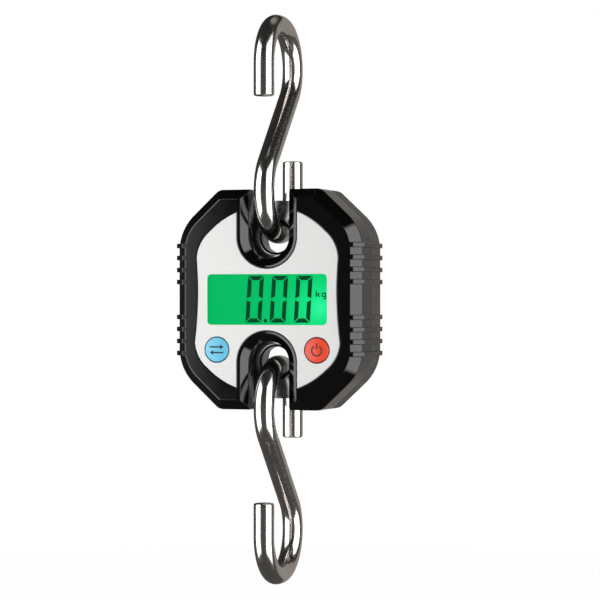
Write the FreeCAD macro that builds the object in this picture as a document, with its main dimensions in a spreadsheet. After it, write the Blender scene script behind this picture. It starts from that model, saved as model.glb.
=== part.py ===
import FreeCAD
import Part
import Sketcher
import math
import os

# A hanging scale: a load cell in a two-part housing, with an S-hook through an eye at each end.
# Sizes are in millimetres. Z points up, X to the right of a person reading the display, and Y from
# the display to the back. The origin is the middle of the load cell, halfway between the hooks.

SIZES = {
    # Hooks: each one is bent from a single rod, in the plane X = 0
    "rod_dia": 8.4,
    "bend_rad": 17.0,
    "bend_flat": 2.0,
    "bend_up": 25.85,
    "tip_len": 13.5,
    "tip_round": 0.8,
    # Load cell: a slotted bar with an eye at each end
    "cell_wide": 25.0,
    "cell_deep": 10.0,
    "cell_tall": 81.0,
    "cell_corner": 2.5,
    "eye_dia": 12.5,
    "eye_up": 25.5,
    "eye_round": 2.0,
    "seat_gap": 0.35,
    "web_wide": 14.0,
    "web_tall": 16.0,
    "web_corner": 4.0,
    "slit_up": 13.0,
    "slit_tall": 1.2,
    "slit_len": 19.0,
    "cell_screw_x": 10.1,
    "cell_screw_z": 16.6,
    "cell_hole": 2.7,
    "cell_head": 3.4,
    "cell_head_tall": 1.5,
    "cell_shank": 2.2,
    "cell_shank_len": 4.0,
    # Strain gauges on the web, their sealant and their leads
    "gauge_x": 1.6,
    "gauge_wide": 2.6,
    "gauge_long": 6.0,
    "gauge_thick": 0.15,
    "sealant_deep": 7.0,
    "lead_dia": 1.0,
    "lead_pitch": 2.0,
    "lead_count": 4,
    # Housing: an octagon with rounded corners, split between a deep front and a shallow back
    "body_wide": 79.0,
    "body_tall": 90.0,
    "body_deep": 30.0,
    "parting": 4.0,
    "wall": 2.2,
    "corner_slope": 46.9,
    "corner_level": 20.0,
    "corner_top_rad": 4.5,
    "corner_side_rad": 19.8,
    "rim_bevel": 4.0,
    "rim_soft": 0.35,
    "inner_bevel": 3.0,
    "back_round": 1.2,
    "parting_groove": 0.25,
    # Hook notches at the top and bottom of the housing
    "notch_half": 8.7,
    "funnel": 3.8,
    "funnel_deep": 2.8,
    "mouth": 0.9,
    "mouth_deep": 0.33,
    "notch_lip": 0.6,
    "notch_wall": 2.5,
    "cell_room": 0.3,
    # Grip ribs on the sides
    "rib_proud": 1.0,
    "rib_tall": 1.9,
    "rib_pitch": 4.95,
    "rib_first": 6.25,
    "rib_count": 4,
    "rib_soft": 0.4,
    # Face panel and display
    "panel_thick": 0.5,
    "panel_sink": 0.6,
    "panel_gap": 0.12,
    "panel_side": 30.3,
    "panel_corner_z": 16.8,
    "panel_shoulder_x": 24.9,
    "panel_shoulder_z": 27.5,
    "panel_tip_z": 35.4,
    "panel_low_grow": 0.8,
    "panel_long_bend": 34.0,
    "panel_short_bend": 15.0,
    "panel_waist_bend": 155.0,
    "window_wide": 51.6,
    "window_tall": 20.7,
    "window_corner": 1.8,
    "window_rim": 0.9,
    "window_thick": 1.4,
    "glass_wide": 53.6,
    "glass_tall": 24.6,
    "glass_thick": 2.3,
    "light_wide": 52.0,
    "light_tall": 20.8,
    "frame_wide": 56.0,
    "frame_tall": 27.2,
    # Buttons
    "button_x": 21.5,
    "button_z": -20.5,
    "button_dia": 10.0,
    "button_gap": 0.45,
    "button_proud": 0.3,
    "button_flange": 12.6,
    "button_stem": 4.0,
    "button_round": 0.4,
    "plunger_dia": 3.2,
    "plunger_len": 2.4,
    "switch_half": 3.0,
    "switch_well": 3.8,
    # Circuit board
    "board_front": -7.4,
    "board_thick": 1.6,
    "board_half": 33.6,
    "board_top": 13.4,
    "board_low": -27.7,
    "board_screw_x": 31.0,
    "board_screw_top": 9.5,
    "board_screw_low": -23.5,
    "board_hole": 2.3,
    "board_head": 3.8,
    "board_head_tall": 1.4,
    "board_shank": 2.0,
    "board_shank_len": 5.5,
    "board_post": 5.2,
    # Housing screws
    "post_x": 27.0,
    "post_z": 31.2,
    "post_dia": 6.4,
    "screw_seat": 7.2,
    "screw_well": 5.4,
    "screw_way": 3.0,
    "screw_head": 4.8,
    "screw_head_tall": 2.0,
    "screw_shank": 2.6,
    "screw_shank_len": 14.0,
    "cross_long": 1.4,
    "cross_wide": 0.35,
    # Battery bays, one each side of the load cell
    "bay_x": 25.6,
    "bay_wide": 11.8,
    "bay_tall": 50.4,
    "bay_floor": 2.3,
    "bay_wall": 1.2,
    "door_wide": 12.8,
    "door_tall": 51.2,
    "door_thick": 1.8,
    "door_gap": 0.2,
    "door_slot": 3.0,
    "tongue_half": 2.5,
    "tongue_reach": 2.1,
    "tongue_root": 1.2,
    "tongue_thick": 1.1,
    "ridge_pitch": 1.6,
    "ridge_half": 4.0,
    "ridge_deep": 0.5,
    "battery_dia": 10.3,
    "battery_len": 43.5,
    "battery_y": 7.75,
    "spring_dia": 5.2,
    "spring_wire": 0.5,
    "spring_pitch": 1.1,
    "spring_tall": 2.2,
    "contact_thick": 0.4,
    "contact_half": 4.5,
    "contact_tall": 8.0,
    "bay_lead_x": 21.5,
    "bay_lead_dia": 0.9,
}

doc = FreeCAD.newDocument("crane_scale")
sheet = doc.addObject("Spreadsheet::Sheet", "Sizes")
for row, (alias, amount) in enumerate(SIZES.items(), start=1):
    sheet.set(f"A{row}", alias)
    sheet.set(f"B{row}", str(amount))
    sheet.setAlias(f"B{row}", alias)
doc.recompute()

Vector = FreeCAD.Vector
HALF_WIDE = "Sizes.body_wide / 2"
HALF_TALL = "Sizes.body_tall / 2"
FRONT = "-Sizes.body_deep / 2"
BACK = "Sizes.body_deep / 2"
INNER_FRONT = "-Sizes.body_deep / 2 + Sizes.wall"
INNER_BACK = "Sizes.body_deep / 2 - Sizes.wall"
BOARD_BACK = "Sizes.board_front + Sizes.board_thick"
WINDOW_BACK = f"({INNER_FRONT}) - 0.1"


def number(expression):
    """The value of an expression over the sheet"""
    return float(sheet.evalExpression(str(expression)))


# ---------------------------------------------------------------- sketches and features


def new_body(name):
    body = doc.addObject("PartDesign::Body", name + "_body")
    body.Label = name
    return body


def new_sketch(body, name, plane, level):
    """A sketch on one of the body's own planes, moved along its axis to the given level.
    XZ_Plane looks along Y, XY_Plane along Z and YZ_Plane along X."""
    sketch = body.newObject("Sketcher::SketchObject", name)
    support = next(item for item in body.Origin.OriginFeatures if item.Role == plane)
    sketch.AttachmentSupport = (support, [""])
    sketch.MapMode = "FlatFace"
    sign = "-1" if plane == "XZ_Plane" else "1"
    sketch.setExpression("AttachmentOffset.Base.z", f"{sign} * ({level})")
    return sketch


def pin_point(sketch, geometry, end, across, up):
    """Fixes one end of an edge at two expressions"""
    for kind, expression in (("DistanceX", across), ("DistanceY", up)):
        spot = Sketcher.Constraint(kind, -1, 1, geometry, end, number(expression))
        index = sketch.addConstraint(spot)
        sketch.setExpression(f"Constraints[{index}]", str(expression))


def trace(sketch, stops):
    """A closed outline through the stops. Each stop is two expressions. With a third one, the edge
    that arrives there is an arc of that radius, and a negative radius bends it the other way."""
    spots = [Vector(number(stop[0]), number(stop[1]), 0) for stop in stops]
    edges = []
    for index, stop in enumerate(stops):
        start, end = spots[index - 1], spots[index]
        if len(stop) == 2:
            edges.append((sketch.addGeometry(Part.LineSegment(start, end)), 1, 2))
            continue
        bend = number(stop[2])
        chord = end - start
        rise = abs(bend) - math.sqrt(max(0, bend**2 - (chord.Length / 2) ** 2))
        side = Vector(chord.y, -chord.x, 0).normalize() * math.copysign(rise, bend)
        middle = (start + end) / 2 + side
        arc = sketch.addGeometry(Part.Arc(start, middle, end))
        forward = sketch.getPoint(arc, 1).distanceToPoint(start) < 1e-6
        edges.append((arc, 1, 2) if forward else (arc, 2, 1))
    for index, stop in enumerate(stops):
        here, start, end = edges[index]
        after, after_start, _ = edges[(index + 1) % len(edges)]
        sketch.addConstraint(Sketcher.Constraint("Coincident", here, end, after, after_start))
        pin_point(sketch, here, end, stop[0], stop[1])
        if len(stop) == 2:
            continue
        bend = abs(number(stop[2]))
        if (spots[index] - spots[index - 1]).Length > 2 * bend - 1e-6:
            sketch.addConstraint(Sketcher.Constraint("Symmetric", here, 1, here, 2, here, 3))
            continue
        row = sketch.addConstraint(Sketcher.Constraint("Radius", here, bend))
        sketch.setExpression(f"Constraints[{row}]", f"abs({stop[2]})")


def rectangle(sketch, left, low, right, high):
    trace(sketch, [(left, low), (right, low), (right, high), (left, high)])


def circle(sketch, across, up, dia):
    spot = Vector(number(across), number(up), 0)
    ring = sketch.addGeometry(Part.Circle(spot, Vector(0, 0, 1), number(dia) / 2))
    pin_point(sketch, ring, 3, across, up)
    index = sketch.addConstraint(Sketcher.Constraint("Diameter", ring, number(dia)))
    sketch.setExpression(f"Constraints[{index}]", str(dia))


def top_corner(inset):
    """How far the housing's top corner is from the middle plane, for an outline moved inwards"""
    bend = f"(Sizes.corner_side_rad - {inset})"
    rise = f"({HALF_TALL} - {inset} - Sizes.corner_level)"
    return (f"{HALF_WIDE} - Sizes.corner_side_rad + {bend} / cos(Sizes.corner_slope)"
            f" - {rise} * tan(Sizes.corner_slope)")


def octagon(sketch, inset):
    """The housing's outline, moved inwards by inset all round. The corners at the sides are arcs
    that share their centres at every inset."""
    bend = f"(Sizes.corner_side_rad - {inset})"
    mid_x = f"{HALF_WIDE} - Sizes.corner_side_rad"
    turn_x = f"{mid_x} + {bend} * cos(Sizes.corner_slope)"
    turn_z = f"Sizes.corner_level + {bend} * sin(Sizes.corner_slope)"
    top = (top_corner(inset), f"{HALF_TALL} - {inset}")
    turn = (turn_x, turn_z)
    side = (f"{HALF_WIDE} - {inset}", "Sizes.corner_level")
    arc = f"-{bend}"

    def at(point, across, up):
        return f"{across} * ({point[0]})", f"{up} * ({point[1]})"

    trace(sketch, [
        at(top, 1, 1), at(turn, 1, 1), (*at(side, 1, 1), arc),
        at(side, 1, -1), (*at(turn, 1, -1), arc), at(top, 1, -1),
        at(top, -1, -1), at(turn, -1, -1), (*at(side, -1, -1), arc),
        at(side, -1, 1), (*at(turn, -1, 1), arc), at(top, -1, 1),
    ])


def notch(sketch, half, end, side):
    """A U that runs from the eye's height, where it has a round end, out to the height end"""
    eye = f"{side} * Sizes.eye_up"
    far = f"{side} * ({end})"
    left, right = f"-({half})", half
    trace(sketch, [(left, far), (left, eye), (right, eye, f"{side} * ({half})"), (right, far)])


def pad(body, name, sketch, length, backwards):
    """Adds length of solid. backwards means towards +Y on XZ_Plane sketches."""
    item = body.newObject("PartDesign::Pad", name)
    item.Profile = sketch
    item.setExpression("Length", length)
    item.Reversed = backwards
    doc.recompute()
    return item


def pocket(body, name, sketch, length, backwards):
    """Cuts length of solid away, and checks that it did"""
    before = body.Tip.Shape.Volume
    item = body.newObject("PartDesign::Pocket", name)
    item.Profile = sketch
    item.setExpression("Length", length)
    item.Reversed = not backwards
    doc.recompute()
    if item.Shape.Volume > before - 0.01:
        raise RuntimeError(f"{name} cut nothing")
    return item


def loft_cut(body, name, near, far):
    before = body.Tip.Shape.Volume
    item = body.newObject("PartDesign::SubtractiveLoft", name)
    item.Profile = near
    item.Sections = [far]
    item.Ruled = True
    doc.recompute()
    if item.Shape.Volume > before - 0.01:
        raise RuntimeError(f"{name} cut nothing")
    return item


def dress(body, kind, name, amount, wanted):
    """A fillet or chamfer on every edge of the body's tip that wanted() picks"""
    base = body.Tip
    picked = [f"Edge{n}" for n, edge in enumerate(base.Shape.Edges, 1) if wanted(edge)]
    if not picked:
        raise RuntimeError(f"{name} found no edge")
    item = body.newObject(f"PartDesign::{kind}", name)
    item.Base = (base, picked)
    item.setExpression("Radius" if kind == "Fillet" else "Size", amount)
    doc.recompute()
    return item


def repeat_up(body, name, feature, pitch, count):
    """Repeats a feature along Z"""
    item = body.newObject("PartDesign::LinearPattern", name)
    item.Originals = [feature]
    axis = next(part for part in body.Origin.OriginFeatures if part.Role == "Z_Axis")
    item.Direction = (axis, [""])
    item.setExpression("Length", f"{pitch} * ({count} - 1)")
    item.setExpression("Occurrences", str(count))
    body.Tip = item
    doc.recompute()
    return item


def pipe(body, name, profile, path):
    item = body.newObject("PartDesign::AdditivePipe", name)
    item.Profile = profile
    item.Spine = (path, [f"Edge{n + 1}" for n in range(len(path.Geometry))])
    doc.recompute()
    return item


def at_level(edge, axis, level):
    """True for an edge that lies wholly at one height along an axis"""
    box = edge.BoundBox
    low, high = getattr(box, axis + "Min"), getattr(box, axis + "Max")
    return abs(low - level) < 1e-3 and abs(high - level) < 1e-3


def runs_along_y(edge, x, z):
    """True for a straight edge parallel to Y, at the given distance from the middle"""
    box = edge.BoundBox
    flat = box.XLength < 1e-3 and box.ZLength < 1e-3
    return flat and abs(abs(box.XMin) - x) < 1e-3 and abs(abs(box.ZMin) - z) < 1e-3


# ---------------------------------------------------------------- single solids and groups


def block(name, left, right, front, back, low, high):
    """A box between six expressions"""
    item = doc.addObject("Part::Box", name)
    item.setExpression("Length", f"({right}) - ({left})")
    item.setExpression("Width", f"({back}) - ({front})")
    item.setExpression("Height", f"({high}) - ({low})")
    item.setExpression("Placement.Base.x", str(left))
    item.setExpression("Placement.Base.y", str(front))
    item.setExpression("Placement.Base.z", str(low))
    return item


def peg(name, x, z, front, back, dia):
    """A cylinder along Y between two levels"""
    item = doc.addObject("Part::Cylinder", name)
    item.Placement = FreeCAD.Placement(Vector(), FreeCAD.Rotation(Vector(1, 0, 0), -90))
    item.setExpression("Radius", f"({dia}) / 2")
    item.setExpression("Height", f"({back}) - ({front})")
    item.setExpression("Placement.Base.x", str(x))
    item.setExpression("Placement.Base.y", str(front))
    item.setExpression("Placement.Base.z", str(z))
    return item


def group(label, pieces):
    """One node that holds several separate solids"""
    item = doc.addObject("Part::Compound", label + "_group")
    item.Links = pieces
    item.Label = label
    return item


def join(label, pieces):
    item = doc.addObject("Part::MultiFuse", label + "_join")
    item.Shapes = pieces
    item.Label = label
    return item


def cut(label, base, tool):
    item = doc.addObject("Part::Cut", label + "_cut")
    item.Base = base
    item.Tool = tool
    item.Label = label
    return item


# ---------------------------------------------------------------- hooks


def hook_path(body):
    """The rod's middle line: a bend at each end with a slanted stem between them"""
    path = new_sketch(body, "Path", "YZ_Plane", "0")
    bend, flat = number("Sizes.bend_rad"), number("Sizes.bend_flat") / 2
    up, tip = number("Sizes.bend_up"), number("Sizes.tip_len")
    side = flat + bend
    reach = math.hypot(flat, up)
    lean = math.atan2(flat, up) + math.asin(bend / reach)
    stem = math.sqrt(reach**2 - bend**2)
    foot = Vector(stem * math.sin(lean), stem * math.cos(lean), 0)
    turn = (0.5 * math.pi + lean) / 2
    swing = Vector(math.sin(turn), math.cos(turn), 0)
    slope = Vector(-1, 1, 0).normalize()
    front, back = Vector(-flat, up, 0), Vector(flat, up, 0)
    half = [
        Part.LineSegment(Vector(-side, up - tip, 0), Vector(-side, up, 0)),
        Part.Arc(Vector(-side, up, 0), front + slope * bend, Vector(-flat, up + bend, 0)),
        Part.LineSegment(Vector(-flat, up + bend, 0), Vector(flat, up + bend, 0)),
        Part.Arc(Vector(flat, up + bend, 0), back + swing * bend, foot),
    ]
    for edge in half:
        path.addGeometry(edge)
    path.addGeometry(Part.LineSegment(foot, -foot))
    for edge in reversed(half):
        edge.rotate(FreeCAD.Placement(Vector(), FreeCAD.Rotation(Vector(0, 0, 1), 180)))
        path.addGeometry(edge)
    return path


def make_hook(label, turned):
    body = new_body(label)
    path = hook_path(body)
    profile = new_sketch(body, "Section", "XY_Plane", "Sizes.bend_up - Sizes.tip_len")
    circle(profile, "0", "-Sizes.bend_rad - Sizes.bend_flat / 2", "Sizes.rod_dia")
    pipe(body, "Rod", profile, path)
    tips = [number("Sizes.bend_up - Sizes.tip_len"), -number("Sizes.bend_up - Sizes.tip_len")]
    dress(body, "Fillet", "Tips", "Sizes.tip_round",
          lambda edge: any(at_level(edge, "Z", tip) for tip in tips))
    seat = "Sizes.eye_up + Sizes.eye_dia / 2 - Sizes.seat_gap - Sizes.rod_dia / 2"
    height = f"{seat} + Sizes.bend_up + Sizes.bend_rad"
    if turned:
        body.Placement = FreeCAD.Placement(Vector(), FreeCAD.Rotation(Vector(0, 1, 0), 180))
    body.setExpression("Placement.Base.z", f"-({height})" if turned else height)
    return body


# ---------------------------------------------------------------- load cell


def make_load_cell():
    body = new_body("load_cell")
    outline = new_sketch(body, "Outline", "XZ_Plane", "-Sizes.cell_deep / 2")
    half, tall = "Sizes.cell_wide / 2", "Sizes.cell_tall / 2"
    rectangle(outline, f"-{half}", f"-{tall}", half, tall)
    pad(body, "Bar", outline, "Sizes.cell_deep", True)
    wide, high = number(half), number(tall)
    dress(body, "Fillet", "Corners", "Sizes.cell_corner",
          lambda edge: runs_along_y(edge, wide, high))
    web = new_sketch(body, "Web", "XZ_Plane", "-Sizes.cell_deep / 2")
    rectangle(web, "-Sizes.web_wide / 2", "-Sizes.web_tall / 2", "Sizes.web_wide / 2", "Sizes.web_tall / 2")
    pocket(body, "WebOpening", web, "Sizes.cell_deep", True)
    web_x, web_z = number("Sizes.web_wide / 2"), number("Sizes.web_tall / 2")
    dress(body, "Fillet", "WebCorners", "Sizes.web_corner",
          lambda edge: runs_along_y(edge, web_x, web_z))
    slits = new_sketch(body, "Slits", "XZ_Plane", "-Sizes.cell_deep / 2")
    edge_out = f"{half} + 1"
    for side in (1, -1):
        level = f"{side} * Sizes.slit_up"
        open_end, closed_end = f"{-side} * ({edge_out})", f"{-side} * ({half} - Sizes.slit_len)"
        left, right = (open_end, closed_end) if side > 0 else (closed_end, open_end)
        rectangle(slits, left, f"{level} - Sizes.slit_tall / 2", right, f"{level} + Sizes.slit_tall / 2")
    pocket(body, "SlitCuts", slits, "Sizes.cell_deep", True)
    holes = new_sketch(body, "ScrewHoles", "XZ_Plane", "-Sizes.cell_deep / 2")
    for side in (1, -1):
        circle(holes, f"{side} * Sizes.cell_screw_x", "Sizes.cell_screw_z", "Sizes.cell_hole")
    pocket(body, "ScrewCuts", holes, "Sizes.cell_deep", True)
    eyes = new_sketch(body, "Eyes", "XZ_Plane", "-Sizes.cell_deep / 2")
    for side in (1, -1):
        circle(eyes, "0", f"{side} * Sizes.eye_up", "Sizes.eye_dia")
    pocket(body, "EyeCuts", eyes, "Sizes.cell_deep", True)
    reach = number("Sizes.eye_dia / 2")

    def eye_rim(edge):
        return isinstance(edge.Curve, Part.Circle) and abs(edge.Curve.Radius - reach) < 1e-3 \
            and edge.BoundBox.YLength < 1e-3

    dress(body, "Fillet", "EyeRims", "Sizes.eye_round", eye_rim)
    return body


def make_strain_gauges():
    """Two foil gauges on each bending face inside the web opening"""
    pieces = []
    thick = "Sizes.gauge_thick"
    for up in (1, -1):
        for side in (1, -1):
            left = f"{side} * Sizes.gauge_x - Sizes.gauge_wide / 2"
            low = f"Sizes.web_tall / 2 - {thick}" if up > 0 else "-Sizes.web_tall / 2"
            pieces.append(block(f"Gauge_{up}_{side}", left, f"{left} + Sizes.gauge_wide",
                                "-Sizes.gauge_long / 2", "Sizes.gauge_long / 2", low, f"{low} + {thick}"))
    return group("strain_gauges", pieces)


def make_gauge_sealant():
    """The soft filling that covers the gauges"""
    body = new_body("gauge_sealant")
    fill = new_sketch(body, "Fill", "XZ_Plane", "-Sizes.sealant_deep / 2")
    side, up = "Sizes.web_wide / 2 - 0.05", "Sizes.web_tall / 2 - 0.2"
    rectangle(fill, f"-({side})", f"-({up})", side, up)
    pad(body, "FillPad", fill, "Sizes.sealant_deep", True)
    x, z = number(side), number(up)
    dress(body, "Fillet", "FillCorners", "Sizes.web_corner", lambda edge: runs_along_y(edge, x, z))
    return body


def make_gauge_leads():
    """Four leads from the gauges, round the edge of the bar, to the back of the circuit board"""
    body = new_body("gauge_leads")
    level = "-1.5 * Sizes.lead_pitch"
    path = new_sketch(body, "Path", "XY_Plane", level)
    start, far, turn, bend = (3.0, number("Sizes.sealant_deep / 2")), 7.6, 15.4, 2.0
    end = number(BOARD_BACK)
    diagonal = bend * (1 - math.sqrt(0.5))
    path.addGeometry(Part.LineSegment(Vector(start[0], start[1], 0), Vector(start[0], far - bend, 0)))
    path.addGeometry(Part.Arc(Vector(start[0], far - bend, 0),
                              Vector(start[0] + diagonal, far - diagonal, 0),
                              Vector(start[0] + bend, far, 0)))
    path.addGeometry(Part.LineSegment(Vector(start[0] + bend, far, 0), Vector(turn - bend, far, 0)))
    path.addGeometry(Part.Arc(Vector(turn - bend, far, 0),
                              Vector(turn - diagonal, far - diagonal, 0),
                              Vector(turn, far - bend, 0)))
    path.addGeometry(Part.LineSegment(Vector(turn, far - bend, 0), Vector(turn, end, 0)))
    section = new_sketch(body, "Section", "XZ_Plane", "Sizes.sealant_deep / 2")
    circle(section, str(start[0]), level, "Sizes.lead_dia")
    lead = pipe(body, "Lead", section, path)
    repeat_up(body, "Leads", lead, "Sizes.lead_pitch", "Sizes.lead_count")
    return body


def make_load_cell_screws():
    """Two slotted screws that hold the load cell in the front cover"""
    pieces = []
    back = "Sizes.cell_deep / 2"
    slot_floor = f"{back} + 0.6 * Sizes.cell_head_tall"
    slot_x, slot_z = "Sizes.cell_head / 3", "Sizes.cell_head / 11"
    for side in (1, -1):
        x, z = f"{side} * Sizes.cell_screw_x", "Sizes.cell_screw_z"
        head = peg(f"CellHead_{side}", x, z, back, f"{back} + Sizes.cell_head_tall", "Sizes.cell_head")
        shank = peg(f"CellShank_{side}", x, z, f"-{back} - Sizes.cell_shank_len", back, "Sizes.cell_shank")
        slot = block(f"CellSlot_{side}", f"{x} - {slot_x}", f"{x} + {slot_x}", slot_floor,
                     f"{slot_floor} + Sizes.cell_head_tall", f"{z} - {slot_z}", f"{z} + {slot_z}")
        pieces.append(cut(f"cell_screw_{side}", join(f"cell_screw_blank_{side}", [head, shank]), slot))
    return group("load_cell_screws", pieces)


# ---------------------------------------------------------------- housing


def outer_shell(body, front, back):
    """The housing's outside between two levels, with its corners rounded and a fine groove where
    the two covers meet"""
    outline = new_sketch(body, "Outline", "XZ_Plane", front)
    octagon(outline, "0")
    pad(body, "Shell", outline, f"({back}) - ({front})", True)
    top_x = number(top_corner("0"))
    top_z = number(HALF_TALL)
    dress(body, "Fillet", "TopCorners", "Sizes.corner_top_rad",
          lambda edge: runs_along_y(edge, top_x, top_z))
    seam = number("Sizes.parting")
    dress(body, "Chamfer", "PartingGroove", "Sizes.parting_groove",
          lambda edge: at_level(edge, "Y", seam))


def cut_notches(body, face, inner_face, outwards):
    """Both hook notches: a shallow lip and a funnel from the outer face, and a straight U behind it"""
    far = f"{HALF_TALL} + 5"
    mouth = "Sizes.notch_half + Sizes.funnel"
    lip = f"{mouth} - Sizes.mouth"
    steps = [
        ("Mouth", mouth, "0", lip, "Sizes.mouth_deep"),
        ("Funnel", lip, "Sizes.mouth_deep", "Sizes.notch_half", "Sizes.funnel_deep"),
    ]
    for side in (1, -1):
        for name, wide, start, narrow, end in steps:
            near_level, deep_level = (f"({face}) - ({outwards}) * {level}" for level in (start, end))
            near = new_sketch(body, f"{name}Near_{side + 1}", "XZ_Plane", near_level)
            notch(near, wide, far, side)
            deep = new_sketch(body, f"{name}Far_{side + 1}", "XZ_Plane", deep_level)
            notch(deep, narrow, far, side)
            loft_cut(body, f"{name}_{side + 1}", near, deep)
        through = new_sketch(body, f"Through_{side + 1}", "XZ_Plane", face)
        notch(through, "Sizes.notch_half", far, side)
        pocket(body, f"ThroughCut_{side + 1}", through, f"abs(({inner_face}) - ({face}))", outwards < 0)


def add_notch_walls(body, level, length, backwards):
    """A U-shaped wall round each notch, inside the housing"""
    sketch = new_sketch(body, "NotchWalls", "XZ_Plane", level)
    for side in (1, -1):
        notch(sketch, "Sizes.notch_half + Sizes.notch_wall", f"{HALF_TALL} - Sizes.wall + 0.1", side)
    pad(body, "NotchWallPads", sketch, length, backwards)


def cut_cell_channel(body, level, length, backwards):
    """Room for the load cell between the notch walls"""
    sketch = new_sketch(body, "CellChannel", "XZ_Plane", level)
    side = "Sizes.cell_wide / 2 + Sizes.cell_room"
    up = "Sizes.cell_tall / 2 + Sizes.cell_room"
    rectangle(sketch, f"-({side})", f"-({up})", side, up)
    pocket(body, "CellChannelCut", sketch, length, backwards)


def add_posts(body, name, spots, dia, level, length):
    sketch = new_sketch(body, name, "XZ_Plane", level)
    for x, z in spots:
        circle(sketch, x, z, dia)
    pad(body, f"{name}Pads", sketch, length, True)


def drill(body, name, spots, dia, level, length, backwards):
    sketch = new_sketch(body, name, "XZ_Plane", level)
    for x, z in spots:
        circle(sketch, x, z, dia)
    pocket(body, f"{name}Cut", sketch, length, backwards)


SIDES = ("1", "-1")
COVER_SPOTS = [(f"{a} * Sizes.post_x", f"{b} * Sizes.post_z") for a in SIDES for b in SIDES]
BOARD_SPOTS = [(f"{a} * Sizes.board_screw_x", z) for a in SIDES
               for z in ("Sizes.board_screw_top", "Sizes.board_screw_low")]
CELL_SPOTS = [(f"{a} * Sizes.cell_screw_x", "Sizes.cell_screw_z") for a in SIDES]
BUTTON_SPOTS = [(f"{a} * Sizes.button_x", "Sizes.button_z") for a in SIDES]
CELL_FRONT = "-Sizes.cell_deep / 2"
CELL_POST = "2 * Sizes.cell_hole - 0.8"
# Pilot holes: name, places, screw shank, level and depth. Each is a little wider than its shank.
PILOT_PLAY = "0.1"
PILOTS = [
    ("CoverPilots", COVER_SPOTS, "Sizes.screw_shank", "Sizes.parting", "12"),
    ("BoardPilots", BOARD_SPOTS, "Sizes.board_shank", "Sizes.board_front", "4.5"),
    ("CellPilots", CELL_SPOTS, "Sizes.cell_shank", CELL_FRONT, "Sizes.cell_shank_len + 1"),
]


def panel_outline(sketch, grow):
    """The face panel: waisted sides that are wider at the bottom, round corners and a U cut out at
    the top and the bottom. grow moves the outline outwards."""
    half = f"Sizes.notch_half + Sizes.funnel + Sizes.notch_lip - ({grow})"
    long_bend, short_bend = "-Sizes.panel_long_bend", "-Sizes.panel_short_bend"
    slope = "0.7"

    def spots(up):
        extra = f"({grow})" if up > 0 else f"(({grow}) + Sizes.panel_low_grow)"
        eye = (half, "Sizes.eye_up")
        tip = (half, f"Sizes.panel_tip_z + {extra} / 2 + ({grow}) / 2")
        shoulder = (f"Sizes.panel_shoulder_x + {extra} * {slope}",
                    f"Sizes.panel_shoulder_z + {extra} * {slope}")
        corner = (f"Sizes.panel_side + {extra}", f"Sizes.panel_corner_z + {extra} - ({grow})")
        return [(x, f"{up} * ({z})") for x, z in (eye, tip, shoulder, corner)]

    def at(point, across):
        return f"{across} * ({point[0]})", point[1]

    stops = []
    for up in (1, -1):
        eye, tip, shoulder, corner = spots(up)
        _, far_tip, far_shoulder, far_corner = spots(-up)
        left, right = (-1, 1) if up > 0 else (1, -1)
        stops += [
            at(eye, left),
            (*at(eye, right), half),
            at(tip, right),
            (*at(shoulder, right), long_bend),
            (*at(corner, right), short_bend),
            (*at(far_corner, right), "Sizes.panel_waist_bend"),
            (*at(far_shoulder, right), short_bend),
            (*at(far_tip, right), long_bend),
        ]
    trace(sketch, stops)


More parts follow.
